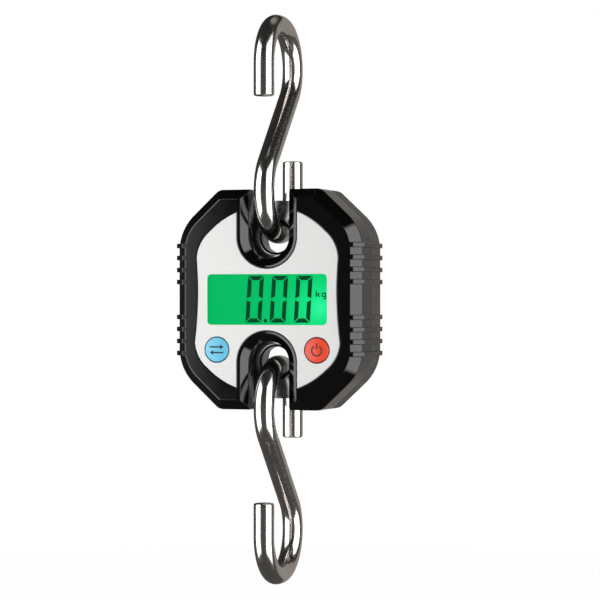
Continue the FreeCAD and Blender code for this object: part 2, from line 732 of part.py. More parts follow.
def make_front_cover():
    body = new_body("front_cover")
    outer_shell(body, FRONT, "Sizes.parting")
    face = number(FRONT)
    dress(body, "Chamfer", "RimBevel", "Sizes.rim_bevel", lambda edge: at_level(edge, "Y", face))
    rim = number(f"{FRONT} + Sizes.rim_bevel")
    dress(body, "Fillet", "RimSoft", "Sizes.rim_soft",
          lambda edge: at_level(edge, "Y", face) or at_level(edge, "Y", rim))
    bevel_end = f"({INNER_FRONT}) + Sizes.inner_bevel"
    cavity = new_sketch(body, "Cavity", "XZ_Plane", "Sizes.parting")
    octagon(cavity, "Sizes.wall")
    pocket(body, "CavityCut", cavity, f"Sizes.parting - ({bevel_end})", False)
    wide_end = new_sketch(body, "CavityBevelStart", "XZ_Plane", bevel_end)
    octagon(wide_end, "Sizes.wall")
    narrow_end = new_sketch(body, "CavityBevelEnd", "XZ_Plane", INNER_FRONT)
    octagon(narrow_end, "(Sizes.wall + Sizes.inner_bevel)")
    loft_cut(body, "CavityBevelCut", wide_end, narrow_end)
    add_notch_walls(body, "Sizes.parting", f"Sizes.parting - ({WINDOW_BACK})", False)
    cut_notches(body, FRONT, "Sizes.parting", -1)
    add_posts(body, "CoverPosts", COVER_SPOTS, "Sizes.post_dia", WINDOW_BACK,
              f"Sizes.parting - 0.1 - ({WINDOW_BACK})")
    add_posts(body, "BoardPosts", BOARD_SPOTS, "Sizes.board_post", WINDOW_BACK,
              f"Sizes.board_front - ({WINDOW_BACK})")
    add_posts(body, "CellPosts", CELL_SPOTS, CELL_POST, WINDOW_BACK,
              f"{CELL_FRONT} - 0.1 - ({WINDOW_BACK})")
    cut_cell_channel(body, "Sizes.parting", f"Sizes.parting - ({CELL_FRONT}) + 0.2", False)
    for name, spots, shank, level, deep in PILOTS:
        drill(body, name, spots, f"{shank} + {PILOT_PLAY}", level, deep, False)
    recess = new_sketch(body, "PanelRecess", "XZ_Plane", FRONT)
    panel_outline(recess, "Sizes.panel_gap")
    pocket(body, "PanelRecessCut", recess, "Sizes.panel_sink", True)
    window = new_sketch(body, "Openings", "XZ_Plane", FRONT)
    wide, tall = "Sizes.window_wide / 2 + Sizes.window_rim", "Sizes.window_tall / 2 + Sizes.window_rim"
    rectangle(window, f"-({wide})", f"-({tall})", wide, tall)
    for x, z in BUTTON_SPOTS:
        circle(window, x, z, "Sizes.button_dia + 2 * Sizes.button_gap")
    pocket(body, "OpeningCuts", window, "Sizes.wall + 0.1", True)
    add_ribs(body, FRONT, "Sizes.parting", "Sizes.rim_bevel - 0.3")
    soften_ribs(body)
    return body


def add_ribs(body, front, back, bevel):
    """Grip ribs that stand proud of both sides. The front ones carry on over the rim's bevel, and
    the back ones, which have no bevel, are rounded off with the back edge."""
    base = f"{HALF_WIDE} - 1"
    outer = f"{HALF_WIDE} + Sizes.rib_proud"
    if bevel:
        shape = [(f"{HALF_WIDE} - Sizes.rim_bevel - 1", front), (f"{outer} - ({bevel})", front),
                 (outer, f"({front}) + ({bevel})"), (outer, back), (base, back),
                 (base, f"({front}) + Sizes.rim_bevel"),
                 (f"{HALF_WIDE} - Sizes.rim_bevel - 1", f"({front}) + 1")]
    else:
        shape = [(base, front), (outer, front), (outer, f"({back}) - Sizes.back_round"),
                 (f"{outer} - Sizes.back_round", back), (f"{base} - 1", back), (f"{base} - 1", front)]
    lowest = "-Sizes.rib_first - Sizes.rib_tall - (Sizes.rib_count - 1) * Sizes.rib_pitch"
    for name, level in (("Upper", "Sizes.rib_first"), ("Lower", lowest)):
        profile = new_sketch(body, f"{name}Rib", "XY_Plane", level)
        for side in SIDES:
            trace(profile, [(f"{side} * ({x})", y) for x, y in shape])
        rib = pad(body, f"{name}RibPad", profile, "Sizes.rib_tall", False)
        repeat_up(body, f"{name}Ribs", rib, "Sizes.rib_pitch", "Sizes.rib_count")


def soften_ribs(body):
    """Rounds the long outer edges of the ribs"""
    reach = number(f"{HALF_WIDE} + Sizes.rib_proud")

    def rib_edge(edge):
        box = edge.BoundBox
        return box.ZLength < 1e-3 and box.XLength < 1e-3 and abs(abs(box.XMin) - reach) < 1e-3

    dress(body, "Fillet", "RibSoft", "Sizes.rib_soft", rib_edge)


def make_rear_cover():
    body = new_body("rear_cover")
    outer_shell(body, "Sizes.parting", BACK)
    face = number(BACK)
    dress(body, "Fillet", "BackRound", "Sizes.back_round", lambda edge: at_level(edge, "Y", face))
    cavity = new_sketch(body, "Cavity", "XZ_Plane", "Sizes.parting")
    octagon(cavity, "Sizes.wall")
    pocket(body, "CavityCut", cavity, f"({INNER_BACK}) - Sizes.parting", True)
    add_notch_walls(body, "Sizes.parting", f"({INNER_BACK}) + 0.1 - Sizes.parting", True)
    cut_notches(body, BACK, "Sizes.parting", 1)
    add_posts(body, "CoverPosts", COVER_SPOTS, "Sizes.post_dia + 1", "Sizes.parting",
              f"({INNER_BACK}) + 0.1 - Sizes.parting")
    tubs = new_sketch(body, "BatteryTubs", "XZ_Plane", "Sizes.bay_floor - Sizes.bay_wall")
    bays = new_sketch(body, "BatteryBays", "XZ_Plane", BACK)
    seats = new_sketch(body, "DoorSeats", "XZ_Plane", BACK)
    slots = new_sketch(body, "DoorSlots", "XZ_Plane", INNER_BACK)
    for side in SIDES:
        middle = f"{side} * Sizes.bay_x"
        for sketch, wide, tall in (
            (tubs, "Sizes.bay_wide + 2 * Sizes.bay_wall", "Sizes.bay_tall + 2 * Sizes.bay_wall"),
            (bays, "Sizes.bay_wide", "Sizes.bay_tall"),
            (seats, "Sizes.door_wide + 2 * Sizes.door_gap", "Sizes.door_tall + 2 * Sizes.door_gap"),
        ):
            rectangle(sketch, f"{middle} - ({wide}) / 2", f"-({tall}) / 2",
                      f"{middle} + ({wide}) / 2", f"({tall}) / 2")
        rectangle(slots, f"{middle} - Sizes.door_slot", "-Sizes.bay_tall / 2 - Sizes.bay_wall - 0.1",
                  f"{middle} + Sizes.door_slot", "-Sizes.bay_tall / 2 + 0.1")
    pad(body, "BatteryTubPads", tubs, f"({INNER_BACK}) + 0.1 - Sizes.bay_floor + Sizes.bay_wall", True)
    cut_cell_channel(body, "Sizes.parting", "Sizes.cell_deep / 2 + 0.2 - Sizes.parting", True)
    pocket(body, "BatteryBayCuts", bays, f"({BACK}) - Sizes.bay_floor", False)
    pocket(body, "DoorSeatCuts", seats, "Sizes.door_thick", False)
    pocket(body, "DoorSlotCuts", slots, "2.1", False)
    drill(body, "ScrewWells", COVER_SPOTS, "Sizes.screw_well", BACK, f"({BACK}) - Sizes.screw_seat", False)
    drill(body, "ScrewWays", COVER_SPOTS, "Sizes.screw_way", "Sizes.screw_seat",
          "Sizes.screw_seat - Sizes.parting", False)
    add_ribs(body, "Sizes.parting", BACK, None)
    soften_ribs(body)
    return body


def make_housing_screws():
    """Four cross-head screws that hold the covers together"""
    pieces = []
    seat = "Sizes.screw_seat"
    floor, clear = f"{seat} + Sizes.screw_head_tall / 2", f"{seat} + Sizes.screw_head_tall + 1"
    for index, (x, z) in enumerate(COVER_SPOTS):
        head = peg(f"CoverHead_{index}", x, z, seat, f"{seat} + Sizes.screw_head_tall", "Sizes.screw_head")
        shank = peg(f"CoverShank_{index}", x, z, f"{seat} - Sizes.screw_shank_len", seat, "Sizes.screw_shank")
        tools = []
        for name, wide, tall in (("A", "Sizes.cross_long", "Sizes.cross_wide"),
                                 ("B", "Sizes.cross_wide", "Sizes.cross_long")):
            tools.append(block(f"CoverSlot{name}_{index}", f"{x} - {wide}", f"{x} + {wide}", floor, clear,
                               f"{z} - {tall}", f"{z} + {tall}"))
        pieces.append(cut(f"cover_screw_{index}", join(f"cover_screw_blank_{index}", [head, shank]),
                          join(f"cover_screw_cross_{index}", tools)))
    return group("housing_screws", pieces)


# ---------------------------------------------------------------- face, display and buttons


def make_face_panel():
    body = new_body("face_panel")
    back = f"{FRONT} + Sizes.panel_sink"
    outline = new_sketch(body, "Outline", "XZ_Plane", back)
    panel_outline(outline, "0")
    pad(body, "Plate", outline, "Sizes.panel_thick", False)
    openings = new_sketch(body, "Openings", "XZ_Plane", back)
    rectangle(openings, "-Sizes.window_wide / 2", "-Sizes.window_tall / 2",
              "Sizes.window_wide / 2", "Sizes.window_tall / 2")
    for x, z in BUTTON_SPOTS:
        circle(openings, x, z, "Sizes.button_dia + 2 * Sizes.button_gap")
    pocket(body, "OpeningCuts", openings, "Sizes.panel_thick", False)
    x, z = number("Sizes.window_wide / 2"), number("Sizes.window_tall / 2")
    dress(body, "Fillet", "WindowCorners", "Sizes.window_corner",
          lambda edge: runs_along_y(edge, x, z))
    return body


def make_display_window():
    body = new_body("display_window")
    outline = new_sketch(body, "Outline", "XZ_Plane", f"{FRONT} + Sizes.panel_sink + 0.1")
    rim = "Sizes.window_rim - 0.1"
    x, z = f"Sizes.window_wide / 2 + {rim}", f"Sizes.window_tall / 2 + {rim}"
    rectangle(outline, f"-({x})", f"-({z})", x, z)
    pad(body, "Pane", outline, "Sizes.window_thick", True)
    return body


def plain_block(label, wide, tall, front, back):
    """A box centred on the display"""
    item = block(f"{label}_box", f"-({wide}) / 2", f"({wide}) / 2", front, back,
                 f"-({tall}) / 2", f"({tall}) / 2")
    item.Label = label
    return item


GLASS_FRONT = f"({INNER_FRONT}) + 0.1"
GLASS_BACK = f"({GLASS_FRONT}) + Sizes.glass_thick"


def make_display_frame():
    outer = plain_block("frame_outer", "Sizes.frame_wide", "Sizes.frame_tall",
                        GLASS_FRONT, "Sizes.board_front - 0.05")
    inner = plain_block("frame_inner", "Sizes.glass_wide + 0.2", "Sizes.glass_tall + 0.2",
                        f"({GLASS_FRONT}) - 1", "Sizes.board_front + 1")
    return cut("display_frame", outer, inner)


def make_contact_strips():
    pieces = []
    for side in SIDES:
        middle = f"{side} * (Sizes.glass_tall / 2 - 0.9)"
        pieces.append(block(f"Strip_{side}", "-24", "24", GLASS_BACK, "Sizes.board_front",
                            f"{middle} - 0.7", f"{middle} + 0.7"))
    return group("contact_strips", pieces)


def make_backlight_lamps():
    pieces = []
    for index in range(3):
        z = f"{index - 1} * 6"
        pieces.append(block(f"Lamp_{index}", "Sizes.light_wide / 2 + 0.1", "Sizes.light_wide / 2 + 0.7",
                            f"({GLASS_BACK}) + 0.4", f"({GLASS_BACK}) + 2.2", f"{z} - 1.2", f"{z} + 1.2"))
    return group("backlight_lamps", pieces)


def make_circuit_board():
    body = new_body("circuit_board")
    outline = new_sketch(body, "Outline", "XZ_Plane", "Sizes.board_front")
    side, eye = "Sizes.board_half", "-Sizes.eye_up"
    low, top = "Sizes.board_low", "Sizes.board_top"
    half = "Sizes.notch_half + Sizes.notch_wall + 0.8"
    trace(outline, [(f"-({side})", low), (f"-({half})", low), (f"-({half})", eye), (half, eye, f"-({half})"),
                    (half, low), (side, low), (side, top), (f"-({side})", top)])
    pad(body, "Plate", outline, "Sizes.board_thick", True)
    drill(body, "Holes", BOARD_SPOTS, "Sizes.board_hole", "Sizes.board_front", "Sizes.board_thick", True)
    return body


def make_board_screws():
    pieces = []
    for index, (x, z) in enumerate(BOARD_SPOTS):
        head = peg(f"BoardHead_{index}", x, z, BOARD_BACK, f"{BOARD_BACK} + Sizes.board_head_tall",
                   "Sizes.board_head")
        shank = peg(f"BoardShank_{index}", x, z, f"{BOARD_BACK} - Sizes.board_shank_len", BOARD_BACK,
                    "Sizes.board_shank")
        pieces.append(join(f"board_screw_{index}", [head, shank]))
    return group("board_screws", pieces)


def make_board_parts():
    """The epoxy blob over the processor, the amplifier and the small parts beside them"""
    blob = peg("Blob", "23", "2", BOARD_BACK, f"{BOARD_BACK} + 1.4", "9")
    dome = doc.addObject("Part::Fillet", "BlobDome")
    dome.Base = blob
    doc.recompute()
    rim = max(range(len(blob.Shape.Edges)), key=lambda n: blob.Shape.Edges[n].CenterOfMass.y)
    dome.Edges = [(rim + 1, 1.0, 1.0)]
    pieces = [dome, block("Amplifier", "-26", "-21", BOARD_BACK, f"{BOARD_BACK} + 1.5", "-2", "2")]
    for row in range(2):
        for column in range(5):
            x, z = f"{-27 + 2.6 * column}", f"{6 + 3.4 * row}"
            if column == 0:
                x = "-27.2"
            pieces.append(block(f"Chip_{row}_{column}", x, f"{x} + 1.6", BOARD_BACK, f"{BOARD_BACK} + 0.5",
                                z, f"{z} + 0.8"))
    return group("board_parts", pieces)


def make_button(label, side):
    """A button cap with the flange that keeps it in, and the stem that presses its switch"""
    body = new_body(label)
    levels = [
        ("Cap", "Sizes.button_dia", f"{FRONT} - Sizes.button_proud", f"({INNER_FRONT}) + 0.1"),
        ("Flange", "Sizes.button_flange", f"({INNER_FRONT}) + 0.05", f"({INNER_FRONT}) + 0.75"),
        ("Stem", "Sizes.button_stem", f"({INNER_FRONT}) + 0.7", f"({INNER_FRONT}) + 1"),
    ]
    for name, dia, front, back in levels:
        sketch = new_sketch(body, name, "XZ_Plane", front)
        circle(sketch, "0", "0", dia)
        pad(body, f"{name}Pad", sketch, f"({back}) - ({front})", True)
    top = number(f"{FRONT} - Sizes.button_proud")
    dress(body, "Fillet", "CapRound", "Sizes.button_round", lambda edge: at_level(edge, "Y", top))
    body.setExpression("Placement.Base.x", f"{side} * Sizes.button_x")
    body.setExpression("Placement.Base.z", "Sizes.button_z")
    return body


def make_plunger(label, side):
    item = peg(f"{label}_peg", f"{side} * Sizes.button_x", "Sizes.button_z",
               f"({INNER_FRONT}) + 1", f"({INNER_FRONT}) + 1 + Sizes.plunger_len", "Sizes.plunger_dia")
    item.Label = label
    return item


def make_switches():
    pieces = []
    for side in SIDES:
        x, z = f"{side} * Sizes.button_x", "Sizes.button_z"
        half = "Sizes.switch_half"
        case = block(f"SwitchCase_{side}", f"{x} - {half}", f"{x} + {half}", f"({INNER_FRONT}) + 2",
                     "Sizes.board_front", f"{z} - {half}", f"{z} + {half}")
        well = peg(f"SwitchWell_{side}", x, z, f"({INNER_FRONT}) + 1",
                   f"({INNER_FRONT}) + 1.8 + Sizes.plunger_len", "Sizes.switch_well")
        pieces.append(cut(f"switch_{side}", case, well))
    return group("button_switches", pieces)


# ---------------------------------------------------------------- batteries


def make_batteries():
    pieces = []
    for side, turn in (("1", 1), ("-1", -1)):
        x = f"{side} * Sizes.bay_x"
        half = "Sizes.battery_len / 2"
        parts = []
        for name, low, high, dia in (("Can", f"-{half}", half, "Sizes.battery_dia"),
                                     ("Nub", half, f"{half} + 1", "3.8")):
            item = doc.addObject("Part::Cylinder", f"Battery{name}_{side}")
            item.setExpression("Radius", f"{dia} / 2")
            item.setExpression("Height", f"({high}) - ({low})")
            item.setExpression("Placement.Base.x", x)
            item.setExpression("Placement.Base.y", "Sizes.battery_y")
            item.setExpression("Placement.Base.z", low if turn > 0 else f"-({high})")
            parts.append(item)
        pieces.append(join(f"battery_{side}", parts))
    return group("batteries", pieces)


def make_battery_contacts():
    """A pressed plate at each end of each bay, with a solder tag through the bay's end wall"""
    pieces = []
    for side in SIDES:
        x = f"{side} * Sizes.bay_x"
        for up in SIDES:
            inner = f"{up} * (Sizes.bay_tall / 2 - Sizes.contact_thick)"
            outer = f"{up} * Sizes.bay_tall / 2"
            low, high = (inner, outer) if up == "1" else (outer, inner)
            left, right = f"{x} - Sizes.contact_half", f"{x} + Sizes.contact_half"
            pieces.append(block(f"Contact_{side}_{up}", left, right, "Sizes.bay_floor",
                                "Sizes.bay_floor + Sizes.contact_tall", low, high))
    return group("battery_contacts", pieces)


def make_battery_spring(name, x, bottom):
    """A coil of round wire that stands on Z"""
    body = new_body(name)
    wire = new_sketch(body, "Wire", "XZ_Plane", "0")
    circle(wire, "Sizes.spring_dia / 2", "0", "Sizes.spring_wire")
    coil = body.newObject("PartDesign::AdditiveHelix", "Coil")
    coil.Profile = wire
    coil.ReferenceAxis = (wire, ["V_Axis"])
    coil.Mode = "pitch-height-angle"
    coil.setExpression("Pitch", "Sizes.spring_pitch")
    coil.setExpression("Height", "Sizes.spring_tall")
    body.setExpression("Placement.Base.x", x)
    body.setExpression("Placement.Base.y", "Sizes.battery_y - 0.35")
    body.setExpression("Placement.Base.z", bottom)
    doc.recompute()
    return body


def make_battery_springs():
    """One at the foot of the right cell and one at the head of the left cell"""
    foot = "-Sizes.bay_tall / 2 + Sizes.contact_thick + Sizes.spring_wire / 2"
    head = "Sizes.bay_tall / 2 - Sizes.contact_thick - Sizes.spring_wire / 2 - Sizes.spring_tall"
    right = make_battery_spring("RightSpring", "Sizes.bay_x", foot)
    left = make_battery_spring("LeftSpring", "-Sizes.bay_x", head)
    return group("battery_springs", [right, left])


def make_door(label, side):
    """A lift-out battery door: two tongues at the bottom and a row of grip ridges at the top"""
    body = new_body(label)
    wide, tall = "Sizes.door_wide / 2", "Sizes.door_tall / 2"
    outline = new_sketch(body, "Outline", "XZ_Plane", f"({BACK}) - Sizes.door_thick")
    rectangle(outline, f"-{wide}", f"-{tall}", wide, tall)
    pad(body, "Plate", outline, "Sizes.door_thick", True)
    face = number(BACK)
    dress(body, "Fillet", "FaceSoft", "0.3", lambda edge: at_level(edge, "Y", face))
    half, foot = "Sizes.tongue_half", "-Sizes.bay_tall / 2"
    root = f"{foot} + Sizes.tongue_root"
    riser = new_sketch(body, "Riser", "XZ_Plane", f"({BACK}) - Sizes.door_thick + 0.1")
    rectangle(riser, f"-{half}", foot, half, root)
    pad(body, "RiserPad", riser, "1.9", False)
    tongue = new_sketch(body, "Tongue", "XZ_Plane", f"({BACK}) - 3.6")
    rectangle(tongue, f"-{half}", f"{foot} - Sizes.tongue_reach", half, root)
    pad(body, "TonguePad", tongue, "Sizes.tongue_thick", True)
    ridges = new_sketch(body, "Grip", "XZ_Plane", BACK)
    for row in range(5):
        level = f"{tall} - 4 - {row} * Sizes.ridge_pitch"
        rectangle(ridges, "-Sizes.ridge_half", f"{level} - Sizes.ridge_pitch / 4",
                  "Sizes.ridge_half", f"{level} + Sizes.ridge_pitch / 4")
    pocket(body, "GripCuts", ridges, "Sizes.ridge_deep", False)
    body.setExpression("Placement.Base.x", f"{side} * Sizes.bay_x")
    return body


def make_battery_leads():
    """A wire from each bay's lower contact straight to the board, beside the bay's end wall"""
    pieces = []
    for side in SIDES:
        x, z = f"{side} * Sizes.bay_lead_x", "-Sizes.bay_tall / 2 - Sizes.bay_wall - 0.5"
        pieces.append(peg(f"Lead_{side}", x, z, BOARD_BACK, "6", "Sizes.bay_lead_dia"))
    return group("battery_leads", pieces)


make_hook("upper_hook", False)
make_hook("lower_hook", True)
make_load_cell()
make_strain_gauges()
make_gauge_sealant()
make_gauge_leads()
make_load_cell_screws()
make_front_cover()
make_rear_cover()
make_housing_screws()
make_face_panel()
make_display_window()
plain_block("display_glass", "Sizes.glass_wide", "Sizes.glass_tall", GLASS_FRONT, GLASS_BACK)
plain_block("backlight", "Sizes.light_wide", "Sizes.light_tall", GLASS_BACK, "Sizes.board_front")
make_backlight_lamps()
make_display_frame()
make_contact_strips()
make_circuit_board()
make_board_parts()
make_board_screws()
make_button("unit_button", "-1")
make_button("power_button", "1")
make_plunger("unit_plunger", "-1")
make_plunger("power_plunger", "1")
make_switches()
make_batteries()
make_battery_contacts()
make_battery_springs()
make_battery_leads()
make_door("battery_door_left", "-1")
make_door("battery_door_right", "1")

NODES = [
    "upper_hook", "lower_hook", "load_cell", "strain_gauges", "gauge_sealant", "gauge_leads",
    "load_cell_screws", "front_cover", "rear_cover", "housing_screws", "face_panel", "display_window",
    "display_glass", "backlight", "backlight_lamps", "display_frame", "contact_strips", "circuit_board",
    "board_parts", "board_screws", "unit_button", "power_button", "unit_plunger", "power_plunger",
    "button_switches", "batteries", "battery_contacts", "battery_springs", "battery_leads",
    "battery_door_left", "battery_door_right",
]

doc.recompute()
for item in doc.Objects:
    if "Invalid" in item.State or "Error" in item.State:
        raise RuntimeError(f"{item.Name} failed: {item.State}")

os.makedirs("parts", exist_ok=True)
for node in NODES:
    shape = doc.getObjectsByLabel(node)[0].Shape
    if shape.isNull() or not shape.isValid() or not shape.Solids:
        raise RuntimeError(f"{node} has no valid solid")
    shape.exportStep(f"parts/{node}.step")
    print(f"{node}: {len(shape.Solids)} solid(s), {shape.Volume / 1000:.2f} cm3")
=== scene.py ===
import math
from collections import namedtuple

import bmesh
import bpy
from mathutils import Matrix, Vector


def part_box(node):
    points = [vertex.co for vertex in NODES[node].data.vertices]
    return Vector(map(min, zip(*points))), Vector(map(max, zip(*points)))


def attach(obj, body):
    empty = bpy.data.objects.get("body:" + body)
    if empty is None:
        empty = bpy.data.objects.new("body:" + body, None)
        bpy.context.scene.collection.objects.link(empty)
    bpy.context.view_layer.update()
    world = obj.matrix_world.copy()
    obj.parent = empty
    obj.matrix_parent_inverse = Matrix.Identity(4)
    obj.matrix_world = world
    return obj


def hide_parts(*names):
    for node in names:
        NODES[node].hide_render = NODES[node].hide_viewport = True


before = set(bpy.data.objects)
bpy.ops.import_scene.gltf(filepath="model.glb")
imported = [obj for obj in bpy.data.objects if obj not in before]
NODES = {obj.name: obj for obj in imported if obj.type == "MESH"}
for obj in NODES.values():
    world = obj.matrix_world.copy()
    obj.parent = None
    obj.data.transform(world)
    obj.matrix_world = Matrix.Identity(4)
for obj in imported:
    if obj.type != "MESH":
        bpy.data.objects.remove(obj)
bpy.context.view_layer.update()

# A hanging crane scale: two polished S-hooks, a load cell and a glossy black housing with a lit display.
# Everything is in metres, in the CAD model's frame: Z up, X to the reader's right, Y from face to back.
# Flat marks are drawn in millimetres and turned into metres by plates().

MM = 0.001


# ---------------------------------------------------------------- mesh helpers


def centre(node_name):
    low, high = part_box(node_name)
    return (Vector(low) + Vector(high)) / 2


def mesh_from(bm, name):
    """Turns a bmesh into a named mesh and frees it"""
    mesh = bpy.data.meshes.new(name)
    bm.to_mesh(mesh)
    bm.free()
    return mesh


def add_piece(name, mesh, material, body, smooth=True):
    """A new piece that rides on a CAD body, in the material it is given"""
    for face in mesh.polygons:
        face.use_smooth = smooth
    piece = bpy.data.objects.new(name, mesh)
    bpy.context.scene.collection.objects.link(piece)
    mesh.materials.append(material)
    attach(piece, body)
    return piece


def plates(name, outlines, front, thick):
    """Flat plates facing -Y, one for each outline of (x, z) points given in millimetres"""
    bm = bmesh.new()
    for outline in outlines:
        near = [bm.verts.new((x * MM, front * MM, z * MM)) for x, z in outline]
        far = [bm.verts.new((x * MM, (front + thick) * MM, z * MM)) for x, z in outline]
        bm.faces.new(near)
        bm.faces.new(reversed(far))
        for index in range(len(outline)):
            bm.faces.new((near[index - 1], far[index - 1], far[index], near[index]))
    bmesh.ops.recalc_face_normals(bm, faces=bm.faces)
    return mesh_from(bm, name)


def stroke(points, wide):
    """The outline of a line of even width through the points, with square ends"""
    left, right = [], []
    for index, point in enumerate(points):
        here = Vector(point)
        before = Vector(points[max(index - 1, 0)])
        after = Vector(points[min(index + 1, len(points) - 1)])
        along = (after - before).normalized()
        side = Vector((-along.y, along.x)) * wide / 2
        left.append(tuple(here + side))
        right.append(tuple(here - side))
    return left + right[::-1]


def arc(middle, radius, start, end, steps):
    """Points on an arc between two angles in degrees, counted from +X towards +Z"""
    points = []
    for step in range(steps + 1):
        angle = math.radians(start + (end - start) * step / steps)
        points.append((middle[0] + radius * math.cos(angle), middle[1] + radius * math.sin(angle)))
    return points


# ---------------------------------------------------------------- material helpers
# The first argument of each is a material or a world: whatever holds the node tree.

EVEN = (1, 1, 1)
LENGTHWISE = (1, 1, 14)
BRUSHED = (1, 1, 30)

# Most of a noise pattern lies between these two values.
PATTERN_LOW = 0.3
PATTERN_HIGH = 0.7

# How well a face's normal agrees with a rounded one, at a sharp edge and on a flat.
EDGE_MATCH = 0.96
FLAT_MATCH = 0.999
EDGE_ROUGHNESS = 0.7
BEVEL_SAMPLES = 8


def node(owner, kind, **settings):
    made = owner.node_tree.nodes.new(kind)
    for setting, value in settings.items():
        setattr(made, setting, value)
    return made


def link(owner, start, end):
    owner.node_tree.links.new(start, end)


def principled(material):
    return material.node_tree.nodes["Principled BSDF"]


def new_material(name, colour=None, roughness=None, metallic=0.0, **sockets):
    """A Principled material. What is the same all over is set on the shader itself; a colour or a
    roughness that follows a pattern is left out here and linked later."""
    material = bpy.data.materials.new(name)
    material.use_nodes = True
    shader = principled(material)
    if colour is not None:
        shader.inputs["Base Color"].default_value = (*colour, 1)
    if roughness is not None:
        shader.inputs["Roughness"].default_value = roughness
    shader.inputs["Metallic"].default_value = metallic
    for socket, amount in sockets.items():
        shader.inputs[socket.replace("_", " ")].default_value = amount
    return material


def texture_space(owner, space):
    return node(owner, "ShaderNodeTexCoord").outputs[space]


def noise(material, scale, detail, stretch=EVEN, space="Object"):
    """A noise pattern on object or UV coordinates, which are multiplied by stretch along each axis"""
    mapping = node(material, "ShaderNodeMapping")
    mapping.inputs["Scale"].default_value = stretch
    link(material, texture_space(material, space), mapping.inputs["Vector"])
    texture = node(material, "ShaderNodeTexNoise")
    texture.inputs["Scale"].default_value = scale
    texture.inputs["Detail"].default_value = detail
    link(material, mapping.outputs["Vector"], texture.inputs["Vector"])
    return texture.outputs["Fac"]


def distance_from(material, spot):
    """How far each point of the surface is from a spot"""
    away = node(material, "ShaderNodeVectorMath", operation="DISTANCE")
    away.inputs[1].default_value = spot
    link(material, texture_space(material, "Object"), away.inputs[0])
    return away.outputs["Value"]


def axes(owner, space):
    """The separate X, Y and Z of a coordinate"""
    split = node(owner, "ShaderNodeSeparateXYZ")
    link(owner, texture_space(owner, space), split.inputs["Vector"])
    return split.outputs


def combine(material, operation, first, second=None):
    """The result of a Math node on one or two linked values"""
    maths = node(material, "ShaderNodeMath", operation=operation)
    link(material, first, maths.inputs[0])
    if second is not None:
        link(material, second, maths.inputs[1])
    return maths.outputs["Value"]


def spread_over(owner, value, start, end, low=0.0, high=1.0, curve="LINEAR"):
    """Turns the range from start to end into the range from low to high"""
    ranged = node(owner, "ShaderNodeMapRange", interpolation_type=curve)
    ranged.inputs["From Min"].default_value = start
    ranged.inputs["From Max"].default_value = end
    ranged.inputs["To Min"].default_value = low
    ranged.inputs["To Max"].default_value = high
    link(owner, value, ranged.inputs["Value"])
    return ranged.outputs["Result"]


def colours_along(owner, pattern, stops):
    """A colour for each value of a pattern, with stops of (position, colour)"""
    ramp = node(owner, "ShaderNodeValToRGB")
    elements = ramp.color_ramp.elements
    while len(elements) < len(stops):
        elements.new(0.5)
    for element, (position, colour) in zip(elements, stops):
        element.position = position
        element.color = (*colour, 1)
    link(owner, pattern, ramp.inputs["Fac"])
    return ramp.outputs["Color"]


def tint(material, pattern, stops, socket="Base Color"):
    link(material, colours_along(material, pattern, stops), principled(material).inputs[socket])


def mottle(material, pattern, colour, spread):
    """Makes the colour a little darker and paler along a pattern"""
    dark = tuple(part * (1 - spread) for part in colour)
    pale = tuple(min(1, part * (1 + spread)) for part in colour)
    tint(material, pattern, [(PATTERN_LOW, dark), (PATTERN_HIGH, pale)])


def vary_roughness(material, pattern, low, high):
    roughness = spread_over(material, pattern, PATTERN_LOW, PATTERN_HIGH, low, high)
    link(material, roughness, principled(material).inputs["Roughness"])


def bump(material, pattern, height):
    """Raises the surface by up to height metres, on top of any bump it already has"""
    lift = node(material, "ShaderNodeBump")
    lift.inputs["Distance"].default_value = height
    link(material, pattern, lift.inputs["Height"])
    normal = principled(material).inputs["Normal"]
    if normal.is_linked:
        link(material, normal.links[0].from_socket, lift.inputs["Normal"])
    link(material, lift.outputs["Normal"], normal)


def rounded_normal(material, radius):
    """The surface's normal as if its sharp edges were rounded"""
    rounding = node(material, "ShaderNodeBevel", samples=BEVEL_SAMPLES)
    rounding.inputs["Radius"].default_value = radius
    return rounding.outputs["Normal"]


def worn_edges(material, radius):
    """Shades sharp edges as if they were rounded, and dulls a thin line along them"""
    shader = principled(material)
    link(material, rounded_normal(material, radius), shader.inputs["Normal"])
    match = node(material, "ShaderNodeVectorMath", operation="DOT_PRODUCT")
    link(material, node(material, "ShaderNodeNewGeometry").outputs["Normal"], match.inputs[0])
    link(material, rounded_normal(material, radius / 2), match.inputs[1])
    line = spread_over(material, match.outputs["Value"], EDGE_MATCH, FLAT_MATCH, EDGE_ROUGHNESS, 0.0)
    plain = shader.inputs["Roughness"].links[0].from_socket
    link(material, combine(material, "MAXIMUM", plain, line), shader.inputs["Roughness"])


# ---------------------------------------------------------------- materials


def polished_steel():
    """Polished rod, with hairlines that run along it and make it a little duller in places"""
    steel = new_material("polished_steel", metallic=1.0)
    tint(steel, noise(steel, 60, 3), [
        (PATTERN_LOW, (0.60, 0.575, 0.55)), (PATTERN_HIGH, (0.70, 0.685, 0.66)),
    ])
    vary_roughness(steel, noise(steel, 9, 4, (60, 4, 1), "UV"), 0.155, 0.185)
    return steel


def milled_metal(name, colour, roughness, grain=LENGTHWISE, spread=0.15, grain_height=2e-6):
    """Machined or drawn metal, with its grain along Z unless it is even"""
    metal = new_material(name, metallic=1.0)
    mottle(metal, noise(metal, 180, 3, grain), colour, spread)
    vary_roughness(metal, noise(metal, 260, 3, grain), roughness * 0.75, roughness * 1.3)
    bump(metal, noise(metal, 900, 2, grain), grain_height)
    return metal


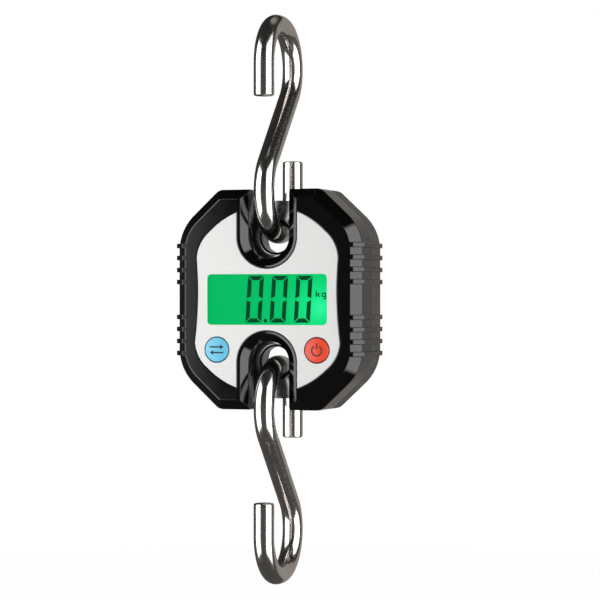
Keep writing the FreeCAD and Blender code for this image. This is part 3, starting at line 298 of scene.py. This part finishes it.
def plastic(name, colour, roughness, grain_height=2e-6, grain=700, spread=0.12, edges=0.0):
    """Moulded plastic with a faint orange-peel surface, and worn edges of a given radius"""
    shell = new_material(name)
    mottle(shell, noise(shell, 90, 4), colour, spread)
    vary_roughness(shell, noise(shell, 160, 4), roughness * 0.85, roughness * 1.2)
    if edges:
        worn_edges(shell, edges)
    bump(shell, noise(shell, grain, 2), grain_height)
    return shell


def button_cap(name, colour, node_name):
    """A button's plastic, shaded as a shallow dome about the middle of its cap"""
    dome_height = 0.4 * MM
    cap = plastic(name, colour, 0.3, spread=0.06, grain_height=4e-6, grain=260)
    low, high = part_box(node_name)
    middle = centre(node_name)
    away = distance_from(cap, (middle.x, low[1], middle.z))
    radius = (high[0] - low[0]) / 2
    bump(cap, spread_over(cap, away, radius, 0, curve="SMOOTHSTEP"), dome_height)
    return cap


def silver_panel():
    """Satin aluminium with a fine sideways brush"""
    panel = new_material("silver_panel", metallic=0.2)
    tint(panel, noise(panel, 40, 5, BRUSHED), [(0.25, (0.575, 0.58, 0.565)), (0.75, (0.605, 0.61, 0.595))])
    vary_roughness(panel, noise(panel, 70, 4, BRUSHED), 0.32, 0.42)
    bump(panel, noise(panel, 120, 4, (1, 1, 40)), 1.5e-6)
    return panel


def lit_display():
    """The liquid crystal's ground, lit green from the lamps at its right end"""
    ground = new_material("lit_display", (0.0, 0.01, 0.005), 0.3, Emission_Strength=1.0,
                          Specular_IOR_Level=0.02)
    low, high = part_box("display_glass")
    lamp = (high[0] - 4.6 * MM, low[1], low[2] + 0.36 * (high[2] - low[2]))
    share = spread_over(ground, distance_from(ground, lamp), 0, high[0] - low[0])
    tint(ground, share, [
        (0.0, (0.03, 1.0, 0.38)), (0.10, (0.008, 0.84, 0.25)), (0.28, (0.0, 0.60, 0.155)),
        (0.6, (0.0, 0.53, 0.13)), (1.0, (0.0, 0.50, 0.12)),
    ], "Emission Color")
    bump(ground, noise(ground, 300, 2), 1e-6)
    return ground


def glowing(name, colour, glow, strength):
    """A part that glows, a little uneven: real light for the lamps and backlight, partly painted light for
    the display's marks
    """
    lit = new_material(name, colour, 0.3, Emission_Strength=strength, Specular_IOR_Level=0.02)
    dim = tuple(part * 0.8 for part in glow)
    tint(lit, noise(lit, 250, 2), [(PATTERN_LOW, dim), (PATTERN_HIGH, glow)], "Emission Color")
    return lit


def clear_window():
    pane = new_material("clear_window", (0.02, 0.02, 0.02), IOR=1.46, Alpha=0.03)
    vary_roughness(pane, noise(pane, 120, 3), 0.03, 0.08)
    return pane


def board_lacquer():
    """Green solder mask over copper tracks"""
    board = new_material("board_lacquer", None, 0.3, Coat_Weight=0.4, Coat_Roughness=0.1)
    tracks = node(board, "ShaderNodeTexBrick", offset=0.5, squash=1.0)
    tracks.inputs["Scale"].default_value = 420
    tracks.inputs["Mortar Size"].default_value = 0.06
    tracks.inputs["Color1"].default_value = (0.008, 0.10, 0.04, 1)
    tracks.inputs["Color2"].default_value = (0.010, 0.13, 0.055, 1)
    tracks.inputs["Mortar"].default_value = (0.03, 0.24, 0.10, 1)
    turn = node(board, "ShaderNodeMapping")
    turn.inputs["Rotation"].default_value = (math.pi / 2, 0, 0)
    link(board, texture_space(board, "Object"), turn.inputs["Vector"])
    link(board, turn.outputs["Vector"], tracks.inputs["Vector"])
    link(board, tracks.outputs["Color"], principled(board).inputs["Base Color"])
    bump(board, tracks.outputs["Fac"], 2e-5)
    return board


def battery_wrap():
    """A dark sleeve with a copper-coloured band at the positive end, which is up on the right-hand
    cell and down on the left-hand one"""
    sleeve = (0.02, 0.02, 0.022)
    wrap = new_material("battery_wrap")
    place = axes(wrap, "Object")
    turned = combine(wrap, "MULTIPLY", place["Z"], combine(wrap, "SIGN", place["X"]))
    low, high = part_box("batteries")
    tint(wrap, spread_over(wrap, turned, low[2], high[2]), [
        (0.0, sleeve), (0.68, sleeve), (0.685, (0.55, 0.30, 0.12)), (1.0, (0.62, 0.36, 0.16)),
    ])
    vary_roughness(wrap, noise(wrap, 200, 2), 0.22, 0.36)
    return wrap


chrome = polished_steel()
# The display's marks glow faintly. Part of this is backlight through the segments; part is painted light in
# place of the front light that the clear window keeps off them.
marks_backlight_and_painted_light = glowing("marks_backlight_and_painted_light", (0.0, 0.01, 0.005), (0.0, 0.06, 0.016), 1.0)
icon_navy = plastic("icon_navy", (0.008, 0.014, 0.04), 0.4)
icon_brown = plastic("icon_brown", (0.05, 0.006, 0.004), 0.4)
front_black = plastic("front_black", (0.001, 0.001, 0.0012), 0.075, grain_height=1.0e-6, edges=0.6 * MM)
rear_black = plastic("rear_black", (0.026, 0.0245, 0.023), 0.38, grain_height=3e-6, grain=1500,
                     edges=0.4 * MM)

FINISHES = {
    "load_cell": milled_metal("cell_metal", (0.25, 0.255, 0.265), 0.16, spread=0.07, grain_height=8e-7),
    "strain_gauges": milled_metal("gauge_foil", (0.72, 0.45, 0.22), 0.35),
    "gauge_sealant": plastic("gauge_sealant", (0.72, 0.72, 0.68), 0.5, grain_height=2e-5, grain=300),
    "gauge_leads": plastic("lead_sleeve", (0.55, 0.03, 0.02), 0.35),
    "load_cell_screws": milled_metal("cell_screw_steel", (0.5, 0.49, 0.47), 0.3, EVEN),
    "front_cover": front_black,
    "rear_cover": rear_black,
    "housing_screws": milled_metal("cover_screw_steel", (0.36, 0.35, 0.34), 0.28, EVEN),
    "face_panel": silver_panel(),
    "display_window": clear_window(),
    "display_glass": lit_display(),
    "backlight": glowing("backlight_green", (0.1, 0.5, 0.2), (0.02, 0.7, 0.25), 0.8),
    "backlight_lamps": glowing("lamp_green", (0.3, 0.9, 0.5), (0.1, 1.0, 0.4), 3.0),
    "display_frame": plastic("frame_white", (0.7, 0.7, 0.68), 0.45),
    "contact_strips": plastic("strip_rubber", (0.5, 0.2, 0.25), 0.6, grain_height=1e-5, grain=2500),
    "circuit_board": board_lacquer(),
    "board_parts": plastic("part_black", (0.012, 0.012, 0.013), 0.4, grain_height=6e-6),
    "board_screws": milled_metal("board_screw_steel", (0.5, 0.49, 0.47), 0.3, EVEN),
    "unit_button": button_cap("button_blue", (0.11, 0.44, 0.62), "unit_button"),
    "power_button": button_cap("button_red", (0.64, 0.05, 0.018), "power_button"),
    "unit_plunger": plastic("unit_plunger_white", (0.68, 0.68, 0.66), 0.4),
    "power_plunger": plastic("power_plunger_white", (0.68, 0.68, 0.66), 0.4),
    "button_switches": plastic("switch_black", (0.015, 0.015, 0.016), 0.4),
    "batteries": battery_wrap(),
    "battery_contacts": milled_metal("contact_nickel", (0.62, 0.6, 0.56), 0.25),
    "battery_springs": milled_metal("spring_nickel", (0.62, 0.6, 0.56), 0.25, EVEN),
    "battery_leads": plastic("battery_lead_sleeve", (0.5, 0.02, 0.02), 0.35),
    "battery_door_left": rear_black,
    "battery_door_right": rear_black,
}


def finish_nodes():
    for name, material in FINISHES.items():
        mesh = NODES[name].data
        for index in range(len(mesh.materials)):
            mesh.materials[index] = material


# ---------------------------------------------------------------- hooks

HOOK_FLAT = 1.0 * MM
HOOK_TIP = 13.5 * MM
TIP_ROUND = 0.8 * MM
TIP_RINGS = 6
TIP_STEPS = 8
FLAT_STEPS = 3
STEM_STEPS = 20
RING_SIDES = 72
ARC_STEP = math.radians(1.6)
UV_PER_METRE = 10

Ring = namedtuple("Ring", "y z heading radius travelled")


def hook_line(rod, reach, half_tall):
    """The rod's middle line as (y, z, direction): a bend at each end and a slanted stem between"""
    bend = reach - rod - HOOK_FLAT
    up = half_tall - rod - bend
    far = math.hypot(HOOK_FLAT, up)
    lean = math.atan2(HOOK_FLAT, up) + math.asin(bend / far)
    half = []

    def straight(start, end, steps):
        heading = math.atan2(end[1] - start[1], end[0] - start[0])
        for step in range(steps):
            share = step / steps
            half.append((start[0] + (end[0] - start[0]) * share,
                         start[1] + (end[1] - start[1]) * share, heading))

    def turn(middle, start, end):
        steps = max(2, round(abs(end - start) / ARC_STEP))
        for step in range(steps):
            angle = start + (end - start) * step / steps
            half.append((middle[0] + bend * math.cos(angle), middle[1] + bend * math.sin(angle),
                         angle - math.pi / 2))

    side = HOOK_FLAT + bend
    straight((-side, up - HOOK_TIP), (-side, up), TIP_STEPS)
    turn((-HOOK_FLAT, up), math.pi, math.pi / 2)
    straight((-HOOK_FLAT, up + bend), (HOOK_FLAT, up + bend), FLAT_STEPS)
    turn((HOOK_FLAT, up), math.pi / 2, -lean)
    stem = math.sqrt(far**2 - bend**2)
    straight((stem * math.sin(lean), stem * math.cos(lean)), (0, 0), STEM_STEPS)
    other = [(-y, -z, heading) for y, z, heading in reversed(half)]
    return half + [(0, 0, half[-1][2])] + other


def end_rings(end, side):
    """Rings that round off one end of the rod: side is 1 at its start and -1 at its finish"""
    made = []
    for step in range(TIP_RINGS + 1):
        angle = math.pi / 2 * (1 - step / TIP_RINGS)
        inwards = side * TIP_ROUND * (1 - math.sin(angle))
        made.append(Ring(end.y + inwards * math.cos(end.heading), end.z + inwards * math.sin(end.heading),
                         end.heading, end.radius - TIP_ROUND * (1 - math.cos(angle)),
                         end.travelled + inwards))
    return made[::side]


def rings_along(line, rod):
    """A ring at each point of the rod's middle line, with how far along the rod it is"""
    rings = []
    travelled = 0.0
    for index, (y, z, heading) in enumerate(line):
        if index:
            travelled += math.hypot(y - line[index - 1][0], z - line[index - 1][1])
        rings.append(Ring(y, z, heading, rod, travelled))
    return end_rings(rings[0], 1) + rings[1:-1] + end_rings(rings[-1], -1)


def ring_points(bm, ring, middle, upright):
    points = []
    for side in range(RING_SIDES):
        angle = 2 * math.pi * side / RING_SIDES
        lift = ring.radius * math.sin(angle)
        y = ring.y - lift * math.sin(ring.heading)
        z = ring.z + lift * math.cos(ring.heading)
        points.append(bm.verts.new((middle.x + ring.radius * math.cos(angle), middle.y + y,
                                    middle.z + upright * z)))
    return points


def hook_mesh(name, node_name, upright):
    """A finely swept hook in the CAD hook's box: upright is -1 for the one that is turned over"""
    low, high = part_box(node_name)
    middle = centre(node_name)
    rod = (high[0] - low[0]) / 2
    rings = rings_along(hook_line(rod, (high[1] - low[1]) / 2, (high[2] - low[2]) / 2), rod)
    bm = bmesh.new()
    loops = [ring_points(bm, ring, middle, upright) for ring in rings]
    uv = bm.loops.layers.uv.new("along")
    for index in range(len(loops) - 1):
        for side in range(RING_SIDES):
            after = (side + 1) % RING_SIDES
            face = bm.faces.new((loops[index][side], loops[index][after],
                                 loops[index + 1][after], loops[index + 1][side]))
            corners = ((index, side), (index, side + 1), (index + 1, side + 1), (index + 1, side))
            for corner, (ring, step) in zip(face.loops, corners):
                corner[uv].uv = (step / RING_SIDES, rings[ring].travelled * UV_PER_METRE)
    bm.faces.new(reversed(loops[0]))
    bm.faces.new(loops[-1])
    bmesh.ops.recalc_face_normals(bm, faces=bm.faces)
    return mesh_from(bm, name)


def make_hooks():
    for name, upright in (("upper_hook", 1), ("lower_hook", -1)):
        mesh = hook_mesh(name + "_rod", name, upright)
        piece = add_piece(name + "_rod", mesh, chrome, name)
        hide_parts(name)


# ---------------------------------------------------------------- display marks, in millimetres

DIGIT_WIDE = 6.9
DIGIT_TALL = 19.0
DIGIT_SLANT = 1.2
DIGIT_STROKE = 1.75
DIGIT_GAP = 0.28
DIGIT_PITCH = 10.42
DIGITS = 3
FIRST_DIGIT = -5.9
DIGIT_MIDDLE = 0.1
POINT_DIA = 1.6
POINT_SIDES = 24
INK_THICK = 0.05

LETTERS_LEFT = 20.5
LETTERS_FOOT = 1.05
LETTER_K_TALL = 2.4
LETTER_PEN = 0.45
BOWL_ACROSS = 3.2
BOWL_UP = 0.85
BOWL_RADIUS = 0.72
TAIL_DROP = 1.15
TAIL_RADIUS = 0.5


def digit_outlines(middle):
    """The six lit segments of a nought, leaning to the right"""
    half, tall, wide, gap = DIGIT_TALL / 2, DIGIT_STROKE, DIGIT_WIDE / 2, DIGIT_GAP
    top = [(-wide + gap, half), (wide - gap, half), (wide - tall - gap, half - tall),
           (-wide + tall + gap, half - tall)]
    upright = [(-wide, half - gap), (-wide + tall, half - tall - gap),
               (-wide + tall, tall / 2 + gap), (-wide, gap)]
    outlines = []
    for up in (1, -1):
        outlines.append([(x, z * up) for x, z in top])
        for side in (1, -1):
            outlines.append([(x * side, z * up) for x, z in upright])
    return [[(middle + x + DIGIT_SLANT * z / DIGIT_TALL, DIGIT_MIDDLE + z) for x, z in outline]
            for outline in outlines]


def decimal_point():
    """A dot at the foot of the digits, after the first one. Its arc stops one side before the start."""
    across = FIRST_DIGIT + DIGIT_PITCH / 2 - DIGIT_SLANT / 2
    foot = DIGIT_MIDDLE - DIGIT_TALL / 2 + POINT_DIA / 2
    return arc((across, foot), POINT_DIA / 2, 0, 360 - 360 / POINT_SIDES, POINT_SIDES - 1)


def letter_k():
    left, foot = LETTERS_LEFT, LETTERS_FOOT
    return [
        [(left, foot), (left, foot + LETTER_K_TALL)],
        [(left + 0.15, foot + 0.75), (left + 1.35, foot + 1.65)],
        [(left + 0.65, foot + 1.1), (left + 1.5, foot)],
    ]


def letter_g():
    bowl = (LETTERS_LEFT + BOWL_ACROSS, LETTERS_FOOT + BOWL_UP)
    back = bowl[0] + BOWL_RADIUS
    tail = bowl[1] - TAIL_DROP
    return [
        arc(bowl, BOWL_RADIUS, -20, 330, 24),
        [(back, bowl[1] + BOWL_RADIUS), (back, tail)]
        + arc((back - TAIL_RADIUS, tail), TAIL_RADIUS, -10, -140, 6),
    ]


def make_display_marks():
    """The reading and the letters kg, a thin layer in front of the display's glass"""
    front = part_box("display_glass")[0][1] / MM - INK_THICK
    reading = []
    for index in range(DIGITS):
        reading += digit_outlines(FIRST_DIGIT + index * DIGIT_PITCH)
    reading.append(decimal_point())
    letters = [stroke(line, LETTER_PEN) for line in letter_k() + letter_g()]
    for name, outlines in (("display_digits", reading), ("unit_mark", letters)):
        mesh = plates(name, outlines, front, INK_THICK)
        add_piece(name, mesh, marks_backlight_and_painted_light, "housing", smooth=False)


# ---------------------------------------------------------------- button signs, in millimetres

ICON_PEN = 0.6
ICON_RAISE = 0.03
ICON_SINK = 0.02
ARROW_REACH = 3.0
ARROW_APART = 1.15
ARROW_HEAD = 1.5
ARROW_HALF_HEAD = 1.0
ARROW_OVERLAP = 0.6
POWER_RADIUS = 2.1
POWER_DROP = 0.15
POWER_BAR = (0.35, 2.9)


def unit_sign(x, z):
    """Two opposed arrows, one above the other"""
    outlines = []
    for way in (1, -1):
        height = z + way * ARROW_APART
        tip = x + way * ARROW_REACH
        neck = tip - way * ARROW_HEAD
        shaft = [(x - way * ARROW_REACH, height), (neck + way * ARROW_OVERLAP, height)]
        outlines.append(stroke(shaft, ICON_PEN))
        outlines.append([(tip, height), (neck, height + ARROW_HALF_HEAD), (neck, height - ARROW_HALF_HEAD)])
    return outlines


def power_sign(x, z):
    """The on and off sign: a ring open at the top, with a bar in the gap"""
    ring = arc((x, z - POWER_DROP), POWER_RADIUS, 122, 418, 30)
    bar = [(x, z + height) for height in POWER_BAR]
    return [stroke(ring, ICON_PEN), stroke(bar, ICON_PEN)]


def make_icons():
    """Printed signs on the buttons"""
    for name, body, slot_name, material, sign in (
        ("unit_icon", "unit_button", "button_blue", icon_navy, unit_sign),
        ("power_icon", "power_button", "button_red", icon_brown, power_sign),
    ):
        spot = centre(body) / MM
        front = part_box(body)[0][1] / MM - ICON_RAISE
        mesh = plates(name, sign(spot.x, spot.z), front, ICON_RAISE + ICON_SINK)
        add_piece(name, mesh, material, body, smooth=False)


# ---------------------------------------------------------------- studio

WHITE = (1, 1, 1)
WARM = (1.0, 0.93, 0.86)
BACKDROP_RADIUS = 5.0
FLOOR_RADIUS = 4.9
FLOOR_DROP = 0.62
CARD_DISTANCE = 1.2
CARD_STEPS = 24


def stage_object(name, mesh, material):
    thing = bpy.data.objects.new(name, mesh)
    bpy.context.scene.collection.objects.link(thing)
    mesh.materials.append(material)
    return thing


def emission(name, colour, strength):
    """Plain light, and the node that gives it"""
    material = bpy.data.materials.new(name)
    material.use_nodes = True
    material.node_tree.nodes.clear()
    glow = node(material, "ShaderNodeEmission")
    glow.inputs["Color"].default_value = (*colour, 1)
    glow.inputs["Strength"].default_value = strength
    out = node(material, "ShaderNodeOutputMaterial")
    link(material, glow.outputs["Emission"], out.inputs["Surface"])
    return material, glow


def soft_emission(name, colour, strength, soft_edge):
    """Light that fades out over a soft edge, towards the borders of the mesh's UV square"""
    material, glow = emission(name, colour, strength)
    place = axes(material, "UV")
    fades = []
    for axis in "XY":
        inwards = node(material, "ShaderNodeMath", operation="PINGPONG")
        inwards.inputs[1].default_value = 0.5
        link(material, place[axis], inwards.inputs[0])
        fades.append(spread_over(material, inwards.outputs["Value"], 0, soft_edge, curve="SMOOTHSTEP"))
    power = node(material, "ShaderNodeMath", operation="MULTIPLY")
    power.inputs[1].default_value = strength
    link(material, combine(material, "MULTIPLY", *fades), power.inputs[0])
    link(material, power.outputs["Value"], glow.inputs["Strength"])
    return material


def curved_card(name, middle, spread, low, high, colour, strength, soft_edge=0.12):
    """A softbox: part of an upright cylinder round the object. Angles go from -Y towards +X, and
    low and high are how far down and up it reaches, as angles above the horizon."""
    bm = bmesh.new()
    uv = bm.loops.layers.uv.new("spread")
    heights = [CARD_DISTANCE * math.tan(math.radians(tilt)) for tilt in (low, high)]
    columns = []
    for step in range(CARD_STEPS + 1):
        turn = math.radians(middle + spread * (step / CARD_STEPS - 0.5))
        spot = (CARD_DISTANCE * math.sin(turn), -CARD_DISTANCE * math.cos(turn))
        columns.append([bm.verts.new((*spot, height)) for height in heights])
    for step, (left, right) in enumerate(zip(columns, columns[1:])):
        face = bm.faces.new((left[0], right[0], right[1], left[1]))
        for corner, (across, up) in zip(face.loops, ((0, 0), (1, 0), (1, 1), (0, 1))):
            corner[uv].uv = ((step + across) / CARD_STEPS, up)
    card = stage_object(name, mesh_from(bm, name), soft_emission(name, colour, strength, soft_edge))
    card.visible_camera = False
    card.visible_shadow = False


def make_room():
    """A white backdrop and floor that only the camera sees"""
    bm = bmesh.new()
    bmesh.ops.create_icosphere(bm, subdivisions=4, radius=BACKDROP_RADIUS)
    white, _ = emission("backdrop", WHITE, 1.0)
    dome = stage_object("backdrop", mesh_from(bm, "backdrop"), white)
    bm = bmesh.new()
    bmesh.ops.create_circle(bm, cap_ends=True, segments=96, radius=FLOOR_RADIUS)
    bmesh.ops.translate(bm, vec=(0, 0, -FLOOR_DROP), verts=bm.verts)
    floor_white = new_material("floor_white", (0.3, 0.3, 0.3), 0.9, Emission_Strength=0.97,
                               Emission_Color=(*WHITE, 1))
    floor = stage_object("floor", mesh_from(bm, "floor"), floor_white)
    for thing in (dome, floor):
        thing.visible_glossy = False
        thing.visible_diffuse = False
        thing.visible_shadow = False


def make_cards():
    """Two bright softboxes at the sides and two weak warm ones behind and above"""
    curved_card("left_softbox", -49.5, 58, -43, 45, WHITE, 4.0)
    curved_card("right_softbox", 76, 66, -43, 45, WHITE, 4.0)
    curved_card("rear_card", 168, 70, -34, 36, WARM, 0.34)
    curved_card("overhead_card", 165, 90, 35, 74, WARM, 0.32, soft_edge=0.3)


def make_world():
    """A dark room: a little light comes from level and below, and less from above"""
    world = bpy.data.worlds.new("room")
    bpy.context.scene.world = world
    world.use_nodes = True
    height = spread_over(world, axes(world, "Generated")["Z"], -1, 1)
    levels = ((0.0, 0.08), (0.3, 0.09), (0.5, 0.085), (0.7, 0.035), (1.0, 0.025))
    stops = [(position, (level, level * 0.96, level * 0.92)) for position, level in levels]
    background = world.node_tree.nodes["Background"]
    link(world, colours_along(world, height, stops), background.inputs["Color"])


def make_camera():
    """Level with the display, a little to the right of it, from far enough for a flat view"""
    yaw, pan = math.radians(19.49), math.radians(0.815)
    distance, drop = 957.2 * MM, 0.2 * MM
    target = Vector((0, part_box("front_cover")[0][1], 0))
    lens_data = bpy.data.cameras.new("camera")
    lens_data.sensor_width = 36
    lens_data.lens = 141.5
    lens_data.clip_start = 0.01
    camera = bpy.data.objects.new("camera", lens_data)
    bpy.context.scene.collection.objects.link(camera)
    camera.location = target + distance * Vector((math.sin(yaw), -math.cos(yaw), 0))
    camera.location.z -= drop
    camera.rotation_euler = (math.pi / 2, 0, yaw - pan)
    bpy.context.scene.camera = camera


finish_nodes()
make_hooks()
make_display_marks()
make_icons()
make_room()
make_cards()
make_world()
make_camera()
bpy.context.scene.view_settings.view_transform = "Standard"
